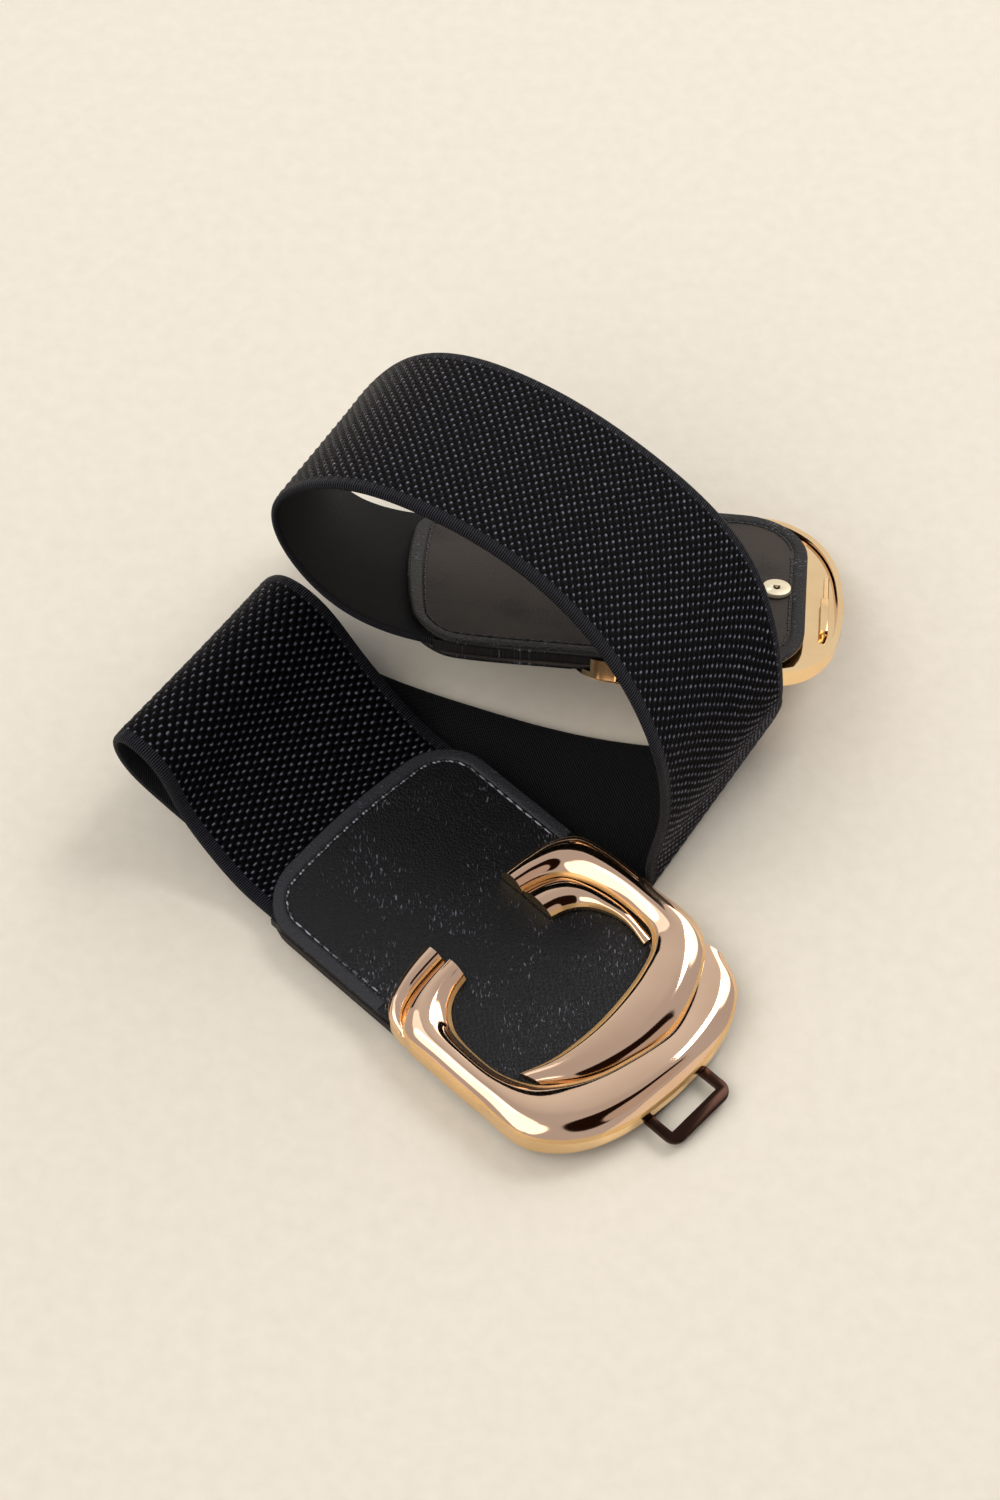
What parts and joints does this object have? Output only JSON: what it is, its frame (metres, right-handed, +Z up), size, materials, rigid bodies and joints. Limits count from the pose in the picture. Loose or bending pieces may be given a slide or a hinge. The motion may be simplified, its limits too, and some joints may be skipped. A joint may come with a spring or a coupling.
{
  "type": "elastic stretch belt",
  "caption": "Wide woven elastic belt lying as a loose spiral, with a stitched leather tab and an open crescent buckle half on each end.",
  "frame": {"origin": "centre of the bounding box's underside, on the surface that the belt lies on", "axes": "+Z up, -Y towards the viewer of the picture, +X to the right"},
  "size_m": [0.158, 0.1676, 0.0762],
  "materials": {
    "elastic": "matte black woven elastic with a staggered basket weave",
    "leather": "smooth black leather, soft sheen",
    "lining": "matte dark grey-brown lining",
    "gold": "mirror-polished pale gold plating",
    "bronze": "polished dark bronze"
  },
  "bodies": {
    "root": {"elastic_band": "elastic", "tab_front_a": "leather", "tab_lining_a": "lining", "tab_front_b": "leather", "tab_lining_b": "lining", "buckle_half_a": "gold", "screw_a": "gold", "catch_loop": "bronze", "buckle_half_b": "gold", "screw_b": "gold", "hook": "gold"}
  },
  "joints": []
}
